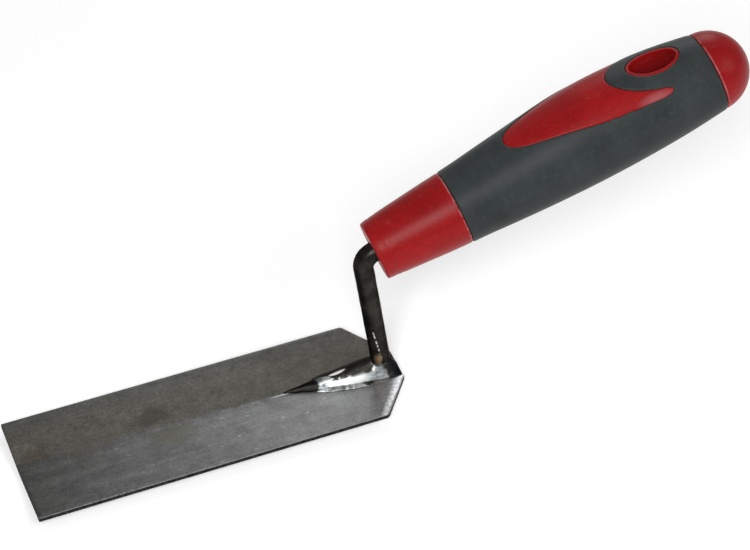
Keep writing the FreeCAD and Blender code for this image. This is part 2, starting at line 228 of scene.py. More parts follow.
class Nodes:
    """Small helper for building a node material."""

    def __init__(self, name):
        self.material = bpy.data.materials.new(name)
        self.material.use_nodes = True
        self.tree = self.material.node_tree
        self.tree.nodes.clear()
        output = self.tree.nodes.new("ShaderNodeOutputMaterial")
        self.shader = self.tree.nodes.new("ShaderNodeBsdfPrincipled")
        self.link(self.shader.outputs["BSDF"], output.inputs["Surface"])
        self.coords = self.tree.nodes.new("ShaderNodeTexCoord").outputs["Object"]

    def link(self, source, target):
        self.tree.links.new(source, target)

    def feed(self, name, source):
        """Link a source to one of the shader's inputs."""
        self.link(source, self.shader.inputs[name])

    def set(self, **values):
        """Set the shader's own inputs, with _ for each space in a name."""
        for key, value in values.items():
            self.shader.inputs[key.replace("_", " ")].default_value = value

    def mapped(self, scale, turn=(0, 0, 0)):
        """The object's own coordinates, scaled and then turned."""
        node = self.tree.nodes.new("ShaderNodeMapping")
        node.inputs["Scale"].default_value = scale
        node.inputs["Rotation"].default_value = turn
        self.link(self.coords, node.inputs["Vector"])
        return node.outputs["Vector"]

    def noise(self, scale, detail, rough, vector=None):
        node = self.tree.nodes.new("ShaderNodeTexNoise")
        node.inputs["Scale"].default_value = scale
        node.inputs["Detail"].default_value = detail
        node.inputs["Roughness"].default_value = rough
        self.link(self.coords if vector is None else vector, node.inputs["Vector"])
        return node.outputs["Fac"]

    def voronoi(self, scale, vector=None):
        node = self.tree.nodes.new("ShaderNodeTexVoronoi")
        node.inputs["Scale"].default_value = scale
        self.link(self.coords if vector is None else vector, node.inputs["Vector"])
        return node.outputs["Distance"]

    def ramp(self, factor, stops):
        """Colour ramp through (place, colour) stops."""
        node = self.tree.nodes.new("ShaderNodeValToRGB")
        ramp = node.color_ramp
        while len(ramp.elements) < len(stops):
            ramp.elements.new(0.5)
        for element, (place, colour) in zip(ramp.elements, stops):
            element.position = place
            element.color = (*colour, 1.0)
        self.link(factor, node.inputs["Fac"])
        return node.outputs["Color"]

    def grey(self, factor, low, high, at=(0.0, 1.0)):
        """Grey ramp from low to high between two places."""
        return self.ramp(factor, [(at[0], (low, low, low)), (at[1], (high, high, high))])

    def mix(self, factor, first, second, blend="MIX"):
        node = self.tree.nodes.new("ShaderNodeMix")
        node.data_type = "RGBA"
        node.blend_type = blend
        for socket, value in (("Factor", factor), ("A", first), ("B", second)):
            target = [s for s in node.inputs if s.name == socket and s.enabled][0]
            if isinstance(value, (int, float)):
                target.default_value = value
            elif isinstance(value, tuple):
                target.default_value = (*value, 1.0)
            else:
                self.link(value, target)
        return [s for s in node.outputs if s.enabled][0]

    def times(self, first, second, share=1.0):
        """First colour multiplied by the second."""
        return self.mix(share, first, second, "MULTIPLY")

    def math(self, operation, first, second=None, third=None, clamp=False):
        node = self.tree.nodes.new("ShaderNodeMath")
        node.operation = operation
        node.use_clamp = clamp
        for index, value in enumerate((first, second, third)):
            if value is None:
                continue
            if isinstance(value, (int, float)):
                node.inputs[index].default_value = value
            else:
                self.link(value, node.inputs[index])
        return node.outputs[0]

    def swing(self, factor, amount):
        """Noise brought round 0, times an amount."""
        return self.math("MULTIPLY", self.math("SUBTRACT", factor, 0.5), amount)

    def axis(self, vector):
        node = self.tree.nodes.new("ShaderNodeSeparateXYZ")
        self.link(vector, node.inputs[0])
        return node.outputs

    def value(self, colour):
        """A grey colour as one number."""
        return self.axis(colour)[0]

    def bump(self, height, strength, distance, normal=None):
        node = self.tree.nodes.new("ShaderNodeBump")
        node.inputs["Strength"].default_value = strength
        node.inputs["Distance"].default_value = distance
        self.link(height, node.inputs["Height"])
        if normal is not None:
            self.link(normal, node.inputs["Normal"])
        return node.outputs["Normal"]

    def near(self, value, centre, width):
        """1 at the centre, falling to 0 at width away."""
        away = self.math("ABSOLUTE", self.math("SUBTRACT", value, centre))
        return self.math("SUBTRACT", 1.0, self.math("DIVIDE", away, width), clamp=True)

    def distance(self, first, second, place, reach):
        """Distance of the point (first, second) from place, in units of reach along each axis."""
        a = self.math("DIVIDE", self.math("SUBTRACT", first, place[0]), reach[0])
        b = self.math("DIVIDE", self.math("SUBTRACT", second, place[1]), reach[1])
        squares = self.math("ADD", self.math("MULTIPLY", a, a), self.math("MULTIPLY", b, b))
        return self.math("SQRT", squares)

    def spot(self, first, second, place, reach, soft=0.3):
        """1 inside an oval spot, falling to 0 over a soft border."""
        return self.grey(self.distance(first, second, place, reach), 1.0, 0.0, (1.0 - soft, 1.0))


def blade_material():
    m = Nodes("creased_blade_steel")
    x, y, _ = m.axis(m.coords)
    patches = m.noise(36.0, 6.0, 0.62, m.mapped((0.5, 1.0, 1.0)))
    blotch = m.noise(190.0, 5.0, 0.68)
    speck = m.noise(1100.0, 3.0, 0.7)
    # Brown-grey far wing with a bluer outer rim, paler and bluer near wing.
    far = m.ramp(patches, [(0.3, (0.100, 0.094, 0.083)), (0.7, (0.148, 0.141, 0.126))])
    rim = m.grey(m.math("MULTIPLY", y, 42.0), 0.0, 0.55, (0.65, 1.0))
    far = m.mix(rim, far, (0.105, 0.112, 0.114))
    near = m.ramp(patches, [(0.3, (0.170, 0.171, 0.170)), (0.7, (0.240, 0.243, 0.247))])
    # The near wing's paler finish runs a little way past the crease, up to a wavering line.
    waver = m.swing(m.noise(75.0, 5.0, 0.6), 0.0060)
    waver = m.math("MULTIPLY", waver, m.math("MULTIPLY_ADD", x, -60.0, -2.1, clamp=True))
    border = m.math("SUBTRACT", m.math("ADD", waver, m.math("MULTIPLY_ADD", x, -0.03, 0.0005)), y)
    side = m.grey(m.math("MULTIPLY_ADD", border, 900.0, 0.5), 0.0, 1.0)
    base = m.mix(side, far, near)
    # Painted highlight: the near wing darkens towards the tip, so it is lightest towards the heel. The far
    # one darkens a little at both ends.
    along = m.math("MULTIPLY_ADD", x, 7.2, 0.97, clamp=True)
    near_wing_painted_highlight = m.ramp(along, [(0.0, (0.36, 0.355, 0.34)), (0.33, (0.72, 0.72, 0.71)),
                              (1.0, (1.08, 1.08, 1.09))])
    tip_far = m.ramp(along, [(0.0, (0.95, 0.94, 0.92)), (0.4, (1.05, 1.05, 1.04)),
                             (1.0, (0.80, 0.79, 0.78))])
    base = m.times(base, m.mix(side, tip_far, near_wing_painted_highlight))
    base = m.times(base, m.grey(blotch, 0.78, 1.2, (0.34, 0.66)), 0.75)
    base = m.times(base, m.grey(speck, 0.72, 1.26, (0.33, 0.67)), 0.8)
    # Faint rolling lines along the sheet and short slanting wipe marks.
    rolling = m.noise(420.0, 3.0, 0.6, m.mapped((0.05, 1.0, 0.5)))
    wipe = m.noise(300.0, 3.0, 0.6, m.mapped((0.22, 1.0, 0.5), (0, 0, 0.9)))
    base = m.times(base, m.grey(rolling, 0.88, 1.12, (0.36, 0.64)), 0.5)
    wiped = m.math("MULTIPLY", m.value(side), 0.5)
    base = m.times(base, m.grey(wipe, 0.85, 1.22, (0.38, 0.66)), wiped)
    # Faint stains with ragged borders.
    for place, reach, colour, strength in STAINS:
        torn = m.math("ADD", m.swing(patches, 2.6), m.swing(blotch, 1.6))
        away = m.math("ADD", m.distance(x, y, place, reach), torn)
        base = m.mix(m.grey(away, strength, 0.0, (0.6, 1.0)), base, colour)
    # Bright specks and short scratches left by grinding on the near wing.
    spark = m.grey(m.voronoi(520.0, m.mapped((0.4, 1.0, 1.0), (0, 0, 0.5))), 1.0, 0.0, (0.07, 0.16))
    spark = m.times(spark, m.grey(blotch, 0.0, 1.0, (0.46, 0.6)))
    spark = m.times(spark, m.times(side, m.grey(along, 0.2, 0.7, (0.2, 0.8))))
    base = m.mix(spark, base, (0.62, 0.64, 0.65))
    # Worn bright line along the near edge.
    worn = m.math("MULTIPLY", m.near(y, -0.0234, 0.0004), m.grey(speck, 0.2, 1.0, (0.35, 0.55)))
    base = m.mix(worn, base, (0.42, 0.43, 0.43))
    # Painted highlight and painted shade: a bright line with a dark line beside it along the crease where
    # the foot's point starts.
    crease_painted_highlight = m.math("MULTIPLY", m.near(border, 0.0003, 0.00035), m.near(x, -0.0330, 0.0110))
    base = m.mix(m.math("MULTIPLY", crease_painted_highlight, 2.0, clamp=True), base, (0.75, 0.76, 0.76))
    crease_painted_shade = m.math("MULTIPLY", m.near(border, 0.0012, 0.0005), m.near(x, -0.0290, 0.0110))
    base = m.mix(m.math("MULTIPLY", crease_painted_shade, 1.4, clamp=True), base, (0.05, 0.05, 0.05))
    # Polished strip ground along the near heel chamfer, brightened on the near side only as a painted
    # highlight.
    heel = Vector((WING - NOSE_HALF, CHAMFER)).normalized()
    corner = heel.x * (BLADE_LENGTH - TIP_TO_ORIGIN) * MM + heel.y * NOSE_HALF * MM
    across = m.math("MULTIPLY", m.math("ABSOLUTE", y), heel.y)
    inside = m.math("SUBTRACT", corner, m.math("MULTIPLY_ADD", x, heel.x, across))
    inside = m.math("ADD", inside, m.swing(blotch, 0.0016))
    near_heel_polish_and_painted_light = m.ramp(m.math("MULTIPLY", inside, 80.0),
                     [(0.20, WHITE), (0.34, (1.32, 1.32, 1.32)), (0.6, (1.22, 1.22, 1.22)),
                      (0.9, WHITE)])
    base = m.mix(m.value(side), base, m.times(base, near_heel_polish_and_painted_light))
    chamfer_polish_and_highlight = m.ramp(m.math("MULTIPLY", inside, 300.0),
                   [(0.12, BLACK), (0.26, WHITE), (0.5, (0.9, 0.9, 0.9)), (0.95, BLACK)])
    chamfer_polish_and_highlight = m.times(chamfer_polish_and_highlight, m.mix(side, BLACK, WHITE))
    chamfer_polish_and_highlight = m.times(chamfer_polish_and_highlight, m.grey(speck, 0.45, 1.0, (0.38, 0.55)))
    base = m.mix(chamfer_polish_and_highlight, base, (0.80, 0.82, 0.83))
    m.feed("Base Color", base)
    rough = m.math("ADD", m.math("MULTIPLY", patches, 0.16), 0.34)
    rough = m.math("ADD", rough, m.swing(speck, 0.25), clamp=True)
    m.feed("Roughness", rough)
    normal = m.bump(rolling, 0.12, 0.00002)
    normal = m.bump(speck, 0.22, 0.00002, normal)
    m.feed("Normal", m.bump(blotch, 0.12, 0.00005, normal))
    m.set(Metallic=0.65, Specular_Tint=(0.6, 0.6, 0.6, 1.0), Specular_IOR_Level=0.3)
    return m.material


def edge_material():
    m = Nodes("sheared_edge_with_painted_shade")
    streak = m.noise(700.0, 3.0, 0.6, m.mapped((1.0, 1.0, 0.15)))
    # Painted shade: the sheared edges are made near black, for the shade along the sheet's contour.
    m.feed("Base Color", m.ramp(streak, [(0.3, (0.012, 0.012, 0.012)), (0.7, (0.045, 0.045, 0.045))]))
    m.feed("Roughness", m.grey(streak, 0.35, 0.55))
    m.feed("Normal", m.bump(streak, 0.2, 0.00003))
    m.set(Metallic=0.9, Specular_Tint=(0.25, 0.25, 0.25, 1.0))
    return m.material


def forging_material():
    m = Nodes("dark_forged_steel")
    x, y, z = m.axis(m.coords)
    scale = m.noise(170.0, 6.0, 0.62)
    fine = m.noise(900.0, 4.0, 0.6)
    base = m.ramp(scale, [(0.3, (0.012, 0.011, 0.009)), (0.52, (0.030, 0.028, 0.024)),
                          (0.75, (0.062, 0.059, 0.052))])
    # Painted shade: the pointed front of the foot is darkest.
    base = m.times(base, m.grey(m.math("MULTIPLY_ADD", x, 200.0, 5.6), 0.4, 1.0))
    # Straw-coloured heat tint on the near side of the shank's root.
    straw = m.spot(x, z, (-0.0034, 0.0100), (0.0016, 0.0033), 0.6)
    tint = m.math("MULTIPLY", straw, m.math("LESS_THAN", y, -0.001))
    base = m.mix(m.math("MULTIPLY", tint, 0.9), base, (0.36, 0.245, 0.140))
    # Blue-black oxide where the foot runs down to the heel.
    heel = m.grey(m.math("MULTIPLY", m.math("ADD", x, 0.0008), 320.0), 0.0, 0.85, (0.2, 0.9))
    low_band = m.grey(m.math("MULTIPLY", z, 100.0), 1.0, 0.0, (0.7, 1.0))
    base = m.mix(m.times(heel, low_band), base, (0.011, 0.013, 0.020))
    # Ground near flank: t runs from 0 at the foot's far edge to 1 at its near edge.
    # The foot's half width grows evenly from its point.
    half_width = m.math("MULTIPLY", m.math("ADD", x, 0.045), 0.155)
    t = m.math("MULTIPLY_ADD", m.math("DIVIDE", y, half_width), -0.5, 0.5)
    ragged = m.math("SUBTRACT", m.noise(330.0, 3.0, 0.6), 0.5)
    start = m.grey(m.math("MULTIPLY", m.math("ADD", m.math("MULTIPLY", ragged, 0.003),
                                             m.math("ADD", x, 0.0258)), 1100.0), 0.0, 1.0)
    end = m.grey(m.math("MULTIPLY", m.math("ADD", m.math("MULTIPLY", ragged, 0.005),
                                           m.math("ADD", x, 0.0022)), 500.0), 1.0, 0.0)
    upper = m.ramp(m.math("MULTIPLY_ADD", x, 33.0, 1.0),
                   [(0.17, BLACK), (0.25, (0.20, 0.20, 0.20)), (0.38, (0.70, 0.70, 0.70)),
                    (0.80, (0.74, 0.74, 0.74)), (0.92, (0.55, 0.55, 0.55))])
    above = m.math("ADD", m.math("SUBTRACT", t, m.value(upper)), m.math("MULTIPLY", ragged, 0.18))
    flank = m.grey(m.math("MULTIPLY", above, 18.0), 0.0, 1.0)
    below_shank = m.grey(m.math("MULTIPLY", z, 100.0), 1.0, 0.0, (0.62, 0.8))
    ground = m.times(m.times(start, end), m.times(flank, below_shank))
    # Odd bright places: an oval on the crown, which is a painted highlight, a bead, spatter, and a broken
    # scratch up the shank.
    crown_painted_highlight = m.spot(x, t, (-0.0178, 0.39), (0.0036, 0.13))
    bead = m.spot(x, y, (-0.0052, -0.0030), (0.0007, 0.0007), 0.5)
    spatter = m.grey(m.voronoi(900.0), 1.0, 0.0, (0.10, 0.2))
    spatter = m.times(spatter, m.spot(x, t, (-0.0110, 0.68), (0.0110, 0.09), 0.5))
    spatter = m.times(spatter, m.grey(ragged, 0.0, 1.0, (0.02, 0.06)))
    track = m.math("MULTIPLY_ADD", m.math("SUBTRACT", z, 0.0110), -0.224, -0.0024)
    beside = m.near(m.math("SUBTRACT", x, track), 0.0, 0.00032)
    scratch = m.math("MULTIPLY", beside, m.near(z, 0.0185, 0.0095))
    broken = m.grey(m.noise(900.0, 2.0, 0.5, m.mapped((0.3, 0.3, 1.0))), 0.0, 1.0, (0.46, 0.52))
    scratch = m.times(m.grey(scratch, 0.0, 1.0, (0.08, 0.25)), broken)
    scratch = m.math("MULTIPLY", m.value(scratch), m.math("LESS_THAN", y, -0.002))
    marks_and_painted_highlight = m.math("MAXIMUM", m.value(crown_painted_highlight), m.value(spatter))
    marks_and_painted_highlight = m.math("MULTIPLY", marks_and_painted_highlight, m.math("LESS_THAN", z, 0.0078))
    drop = m.math("MULTIPLY", m.value(bead), m.math("LESS_THAN", z, 0.0095))
    marks_and_painted_highlight = m.math("MAXIMUM", m.math("MAXIMUM", marks_and_painted_highlight, drop), m.math("MULTIPLY", scratch, 0.6))
    # Painted reflection: the flank is really ground and polished, and its near-white colour stands in for
    # its mirror reflection.
    streak = m.noise(420.0, 4.0, 0.65, m.mapped((0.35, 1.0, 1.0)))
    flank_polish_and_painted_reflection = m.ramp(streak, [(0.36, (0.06, 0.08, 0.075)), (0.43, (0.26, 0.28, 0.28)),
                             (0.58, (0.54, 0.58, 0.58))])
    # Whitest part of the painted reflection, in the middle of the flank.
    core = m.spot(x, t, (-0.0140, 0.86), (0.0080, 0.13), 0.5)
    core = m.times(core, m.grey(streak, 0.7, 1.0, (0.36, 0.5)))
    flank_polish_and_painted_reflection = m.mix(core, flank_polish_and_painted_reflection, (0.95, 0.97, 0.96))
    # Black-green slag caught above and below the bright band.
    slag = m.math("MAXIMUM", m.spot(x, t, (-0.0165, 0.66), (0.0048, 0.06)),
                  m.spot(x, t, (-0.0080, 1.00), (0.0052, 0.06)))
    flank_polish_and_painted_reflection = m.mix(m.math("MULTIPLY", slag, 0.95), flank_polish_and_painted_reflection, (0.006, 0.014, 0.012))
    base = m.mix(ground, base, flank_polish_and_painted_reflection)
    base = m.mix(marks_and_painted_highlight, base, BRIGHT_STEEL_AND_HIGHLIGHT)
    m.feed("Base Color", base)
    rough = m.math("ADD", m.math("MULTIPLY", scale, 0.25), 0.24)
    m.feed("Roughness", m.mix(ground, rough, (0.28, 0.28, 0.28)))
    # Painted reflection and highlight: metallic drops where the colour is pale, so the pale colour shows
    # as lit.
    pale_diffuse_share = m.math("MAXIMUM", marks_and_painted_highlight, m.math("MULTIPLY", m.value(ground), 0.75))
    m.feed("Metallic", m.math("MULTIPLY_ADD", pale_diffuse_share, -0.6, 0.9))
    normal = m.bump(scale, 0.45, 0.00010)
    normal = m.bump(fine, 0.3, 0.00002, normal)
    m.feed("Normal", normal)
    m.set(Specular_Tint=(0.3, 0.3, 0.3, 1.0))
    return m.material


def weld_material():
    m = Nodes("ground_weld_metal")
    x, y, _ = m.axis(m.coords)
    ripple = m.noise(420.0, 4.0, 0.6, m.mapped((1.0, 0.5, 0.5)))
    slag = m.noise(260.0, 3.0, 0.55, m.mapped((0.6, 1.0, 1.0)))
    # Near run: ground weld metal whose near-white streaks are a painted highlight.
    bright = m.ramp(ripple, [(0.38, (0.07, 0.08, 0.075)), (0.5, (0.26, 0.28, 0.28)),
                             (0.62, (0.74, 0.77, 0.77))])
    tinted = m.ramp(ripple, [(0.3, (0.10, 0.094, 0.084)), (0.7, (0.23, 0.215, 0.195))])
    bright = m.mix(m.grey(m.math("MULTIPLY_ADD", x, 100.0, 1.6), 0.0, 0.9), bright, tinted)
    near = m.mix(m.grey(slag, 0.0, 0.9, (0.58, 0.64)), bright, (0.012, 0.020, 0.018))
    # The far run is darker.
    far = m.ramp(ripple, [(0.3, (0.012, 0.011, 0.010)), (0.7, (0.040, 0.038, 0.034))])
    is_far = m.math("GREATER_THAN", y, 0.0)
    base = m.mix(is_far, near, far)
    m.feed("Base Color", base)
    m.feed("Roughness", m.mix(is_far, m.grey(ripple, 0.32, 0.5), (0.6, 0.6, 0.6)))
    m.feed("Normal", m.bump(ripple, 0.3, 0.00006))
    m.set(Metallic=0.5, Specular_Tint=(0.4, 0.4, 0.4, 1.0), Specular_IOR_Level=0.25)
    return m.material


def red_material():
    m = Nodes("red_moulded_plastic")
    cloud = m.noise(55.0, 5.0, 0.6)
    grain = m.noise(1500.0, 3.0, 0.6)
    orange_peel = m.noise(420.0, 4.0, 0.55)
    base = m.ramp(cloud, [(0.3, (0.225, 0.0045, 0.0058)), (0.7, (0.305, 0.0070, 0.0082))])
    scuff = m.noise(300.0, 5.0, 0.7, m.mapped((0.35, 1.0, 1.0), (0, 0.31, 0.2)))
    base = m.mix(m.grey(scuff, 0.0, 0.28, (0.58, 0.75)), base, (0.40, 0.075, 0.075))
    base = m.times(base, m.grey(grain, 0.86, 1.14, (0.36, 0.64)))
    # Painted highlight: pale lit lines on the rims where the red stands beside the sleeve, by distance
    # along the handle.
    x, y, z = m.axis(m.coords)
    along = m.math("ADD", m.math("MULTIPLY", x, ALONG.x), m.math("MULTIPLY_ADD", z, ALONG.z, FRONT_SHIFT))
    rim = m.math("MAXIMUM", m.near(along, 0.0312, 0.0005), m.near(along, 0.1309, 0.0004))
    rim = m.math("MULTIPLY", rim, m.value(m.grey(orange_peel, 0.1, 0.6, (0.4, 0.6))))
    base = m.mix(rim, base, (0.52, 0.20, 0.20))
    # Painted highlight: a paler tail of the window panel.
    base = m.mix(m.math("MULTIPLY", m.spot(x, y, (0.0950, -0.0118), (0.0080, 0.0020), 0.8), 0.55), base,
                 (0.38, 0.13, 0.14))
    m.feed("Base Color", base)
    m.feed("Roughness", m.math("ADD", m.math("MULTIPLY", cloud, 0.16), 0.30))
    normal = m.bump(orange_peel, 0.18, 0.00006)
    m.feed("Normal", m.bump(grain, 0.16, 0.00002, normal))
    m.set(Metallic=0.0, IOR=1.45, Specular_IOR_Level=0.16)
    return m.material


def rubber_material():
    m = Nodes("grey_soft_grip")
    cloud = m.noise(70.0, 5.0, 0.6)
    pebble = m.voronoi(1700.0)
    grain = m.noise(2300.0, 2.0, 0.5)
    dust = m.noise(500.0, 5.0, 0.75)
    base = m.ramp(cloud, [(0.3, (0.022, 0.027, 0.027)), (0.7, (0.036, 0.043, 0.043))])
    base = m.mix(m.grey(dust, 0.0, 0.5, (0.5, 0.8)), base, (0.060, 0.068, 0.070))
    # Painted shade darkens the underside. The height is square to the handle's direction.
    x, y, z = m.axis(m.coords)
    height = m.math("SUBTRACT", m.math("MULTIPLY", z, ALONG.x), m.math("MULTIPLY", x, ALONG.z))
    painted_underside_shade = m.grey(m.math("MULTIPLY_ADD", height, 30.0, -1.15), 0.2, 1.0, (0.15, 0.8))
    base = m.times(base, painted_underside_shade)
    # Short pale scuff on the near side, by the butt.
    scuff = m.spot(x, height, (0.1171, 0.0500), (0.0040, 0.0006), 0.7)
    scuff = m.math("MULTIPLY", scuff, m.math("LESS_THAN", y, 0.0))
    base = m.mix(m.math("MULTIPLY", scuff, 0.6), base, (0.19, 0.20, 0.20))
    m.feed("Base Color", base)
    m.feed("Roughness", m.math("ADD", m.math("MULTIPLY", dust, 0.2), 0.36))
    normal = m.bump(pebble, 0.3, 0.00005)
    m.feed("Normal", m.bump(grain, 0.25, 0.00002, normal))
    m.set(Metallic=0.0, IOR=1.45, Specular_IOR_Level=0.17)
    return m.material


def floor_material():
    m = Nodes("pale_floor")
    tone = m.noise(1.5, 3.0, 0.5)
    m.feed("Base Color", m.ramp(tone, [(0.3, (0.90, 0.90, 0.90)), (0.7, (0.93, 0.93, 0.93))]))
    m.set(Roughness=0.9, Emission_Color=(1.0, 1.0, 1.0, 1.0), Emission_Strength=0.22)
    return m.material


# -------------------------------------------------------------------- blade

def fold(x, s):
    """A flat point of the sheet, s across from the crease, folded up into its wing."""
    rise = math.sqrt(s * s + CREASE_ROUNDING * CREASE_ROUNDING) - CREASE_ROUNDING
    wave = SHEET_WAVE * noise.noise(Vector((x / 31.0, s / 17.0, 0.4)))
    return to_row(x, s * math.cos(TILT), rise * math.sin(TILT) + wave)


def trim(bm, point, normal):
    """Cut away everything on the normal's side of a vertical plane."""
    geometry = bm.verts[:] + bm.edges[:] + bm.faces[:]
    bmesh.ops.bisect_plane(bm, geom=geometry, dist=1e-5, plane_co=(*point, 0.0),
                           plane_no=(*normal, 0.0), clear_outer=True)


def round_corner(bm, corner, before, after, radius, steps=6):
    """Cut a corner with tangents to a circle that touches both of its edges."""
    a = Vector(before).normalized()
    b = Vector(after).normalized()
    centre = Vector(corner) - (a + b) * radius / (1.0 + a.dot(b))
    for step in range(1, steps):
        normal = a.lerp(b, step / steps).normalized()
        trim(bm, centre + normal * radius, normal)


def make_blade():
    """Flat sheet cut to its outline, then folded, thickened and eased."""
    bm = bmesh.new()
    xs = np.linspace(0.0, BLADE_LENGTH, 94)
    side = np.concatenate([np.arange(0.0, 2.0, 0.25), np.linspace(2.0, WING, 20)])
    ss = np.concatenate([-side[:0:-1], side])
    grid = [[bm.verts.new((x, s, 0.0)) for s in ss] for x in xs]
    for i in range(len(xs) - 1):
        for j in range(len(ss) - 1):
            bm.faces.new((grid[i][j], grid[i + 1][j], grid[i + 1][j + 1], grid[i][j + 1]))
    slope = Vector((WING - NOSE_HALF, CHAMFER)).normalized()
    for sign in (1, -1):
        cut = (slope.x, sign * slope.y)
        trim(bm, (BLADE_LENGTH, sign * NOSE_HALF), cut)
        round_corner(bm, (BLADE_LENGTH - CHAMFER, sign * WING), (0, sign), cut, HEEL_CORNER)
        round_corner(bm, (BLADE_LENGTH, sign * NOSE_HALF), cut, (1, 0), NOSE_CORNER, 4)
        round_corner(bm, (0.0, sign * WING), (0, sign), (-1, 0), TIP_CORNER, 3)
    for vert in bm.verts:
        vert.co = fold(vert.co.x, vert.co.y)
    bmesh.ops.recalc_face_normals(bm, faces=bm.faces)
    if sum(face.normal.z for face in bm.faces) < 0:
        bmesh.ops.reverse_faces(bm, faces=bm.faces)
    obj = new_object("blade_sheet", bm)
    solid = obj.modifiers.new("sheet", "SOLIDIFY")
    solid.thickness = SHEET * MM
    solid.offset = -1.0
    solid.use_even_offset = True
    bevel = obj.modifiers.new("eased_edges", "BEVEL")
    bevel.width = EASED_EDGE * MM
    bevel.segments = 2
    bevel.limit_method = "ANGLE"
    bevel.angle_limit = math.radians(40)
    apply_modifiers(obj)
    smooth(obj)
    dress(obj, blade_material(), edge_material())
    for face in obj.data.polygons:
        if abs(face.normal.z) < 0.8:
            face.material_index = 1
    return obj


# --------------------------------------------------------------------- tang

# Foot: distance from the tip, half width, height.
FOOT = [(97.0, 0.4, 0.35), (100.0, 1.0, 1.0), (104.0, 1.9, 1.8), (108.0, 2.8, 2.5), (114.0, 3.8, 3.5),
        (120.0, 4.8, 4.6), (126.0, 5.6, 5.7), (131.0, 6.1, 6.4), (135.0, 6.4, 4.8), (138.0, 6.4, 2.6),
        (139.8, 6.3, 1.4)]


def table_at(rows, x):
    """Smoothly interpolate the other columns of a table at x."""
    keys = [row[0] for row in rows]
    return [float(spline(keys, [row[c] for row in rows], x)) for c in range(1, len(rows[0]))]


def spline(xs, ys, x):
    """Monotone cubic through the given points."""
    xs = np.asarray(xs, float)
    ys = np.asarray(ys, float)
    steps = np.diff(xs)
    slopes = np.diff(ys) / steps
    tangents = np.zeros(len(xs))
    tangents[0] = slopes[0]
    tangents[-1] = slopes[-1]
    for i in range(1, len(xs) - 1):
        if slopes[i - 1] * slopes[i] > 0:
            tangents[i] = 2.0 * slopes[i - 1] * slopes[i] / (slopes[i - 1] + slopes[i])
    i = int(np.clip(np.searchsorted(xs, x) - 1, 0, len(xs) - 2))
    t = (x - xs[i]) / steps[i]
    return ((1 + 2 * t) * (1 - t) ** 2 * ys[i] + t * (1 - t) ** 2 * steps[i] * tangents[i]
            + t * t * (3 - 2 * t) * ys[i + 1] + t * t * (t - 1) * steps[i] * tangents[i + 1])


def wing_height(y):
    """Height of the wing's face over the crease."""
    return abs(y) * math.tan(TILT)


def tube(name, centres, radii, sides=32):
    """Closed tube of varying radius along points that lie in the plane y = 0."""
    across = Vector((0, 1, 0))
    bm = bmesh.new()
    rings = []
    for i, centre in enumerate(centres):
        before = centres[max(i - 1, 0)]
        after = centres[min(i + 1, len(centres) - 1)]
        direction = (after - before).normalized()
        other = direction.cross(across).normalized()
        ring = []
        for k in range(sides):
            angle = 2.0 * math.pi * k / sides
            offset = (across * math.cos(angle) + other * math.sin(angle)) * radii[i]
            p = centre + offset
            ring.append(bm.verts.new(to_row(p.x, p.y, p.z)))
        rings.append(ring)
    close_rings(bm, rings)
    return new_object(name, bm)


def rod_line():
    """Centre line of the shank, bend and tang, with its radius at each point."""
    down = Vector((math.sin(LEAN), 0, -math.cos(LEAN)))
    turn = math.acos(-down.dot(ALONG))
    tangent = BEND_RADIUS * math.tan(turn / 2)
    inward = (down + ALONG).normalized()
    centre = CORNER + inward * (BEND_RADIUS / math.cos(turn / 2))
    start = CORNER + down * tangent
    length = (CORNER.z - ROD_BOTTOM) / math.cos(LEAN) - tangent
    points = []
    for step in range(SHANK_STEPS, 0, -1):
        below_bend = step / SHANK_STEPS * length
        flare = max(0.0, 1.0 - (length - below_bend) / FLARE_HEIGHT)
        points.append((start + down * below_bend, ROD_RADIUS + FLARE * flare ** 2.2))
    first = start - centre
    for step in range(BEND_STEPS + 1):
        swing = Matrix.Rotation(turn * step / BEND_STEPS, 3, Vector((0, 1, 0)))
        swell = 1.0 + BEND_SWELL * math.sin(math.pi * step / BEND_STEPS)
        points.append((centre + swing @ first, ROD_RADIUS * swell))
    for step in range(1, STUB_STEPS + 1):
        points.append((CORNER + ALONG * (tangent + step * STUB_STEP), ROD_RADIUS))
    return points


def foot_drift(x):
    """The forged point of the foot wanders a little towards the far wing."""
    return DRIFT * max(0.0, (DRIFT_FROM - x) / DRIFT_LENGTH) ** 1.2


def make_foot():
    """Pointed foot bedded in the crease, with a rounded crown."""
    bm = bmesh.new()
    rings = []
    for x in np.linspace(FOOT[0][0], FOOT[-1][0], 70):
        half, height = table_at(FOOT, x)
        ring = []
        for k in range(25):
            t = -1.0 + k / 12.0
            crown = (1.0 - abs(t) ** 1.55) ** 0.95
            y = t * half + foot_drift(x)
            lump = FOOT_LUMP * noise.noise(Vector((x / 3.1, y / 2.3, 1.7))) * crown
            ring.append((x, y, wing_height(y) * (1 - crown) + height * crown + lump))
        for k in range(1, 12):
            y = half * (1.0 - k / 6.0) + foot_drift(x)
            ring.append((x, y, wing_height(y) - FOOT_BEDDING))
        rings.append([bm.verts.new(to_row(*p)) for p in ring])
    close_rings(bm, rings)
    return new_object("foot_blank", bm)


def join(name, *objs):
    """Copy several meshes into one object."""
    bm = bmesh.new()
    for obj in objs:
        bm.from_mesh(obj.data)
    result = new_object(name, bm)
    remove(*objs)
    return result


def make_tang():
    """Foot, shank, bend and the part of the tang that lies behind the handle's front."""
    line = rod_line()
    rod = tube("rod_blank", [p for p, r in line], [r for p, r in line])
    obj = join("tang_forging", make_foot(), rod)
    remesh(obj, ROD_VOXEL, 10)
    roughen(obj, 0.07, 4.0)
    dress(obj, forging_material())
    return obj


def weld_across(x, t, side, half, width, end):
    """Place across the blade, from over the foot at t 0 to the weld's outer toe at t 1."""
    inward = WELD_OVERLAP * (1.0 - t) * max(end, 0.2)
    return side * (half - inward + width * t) + foot_drift(x)


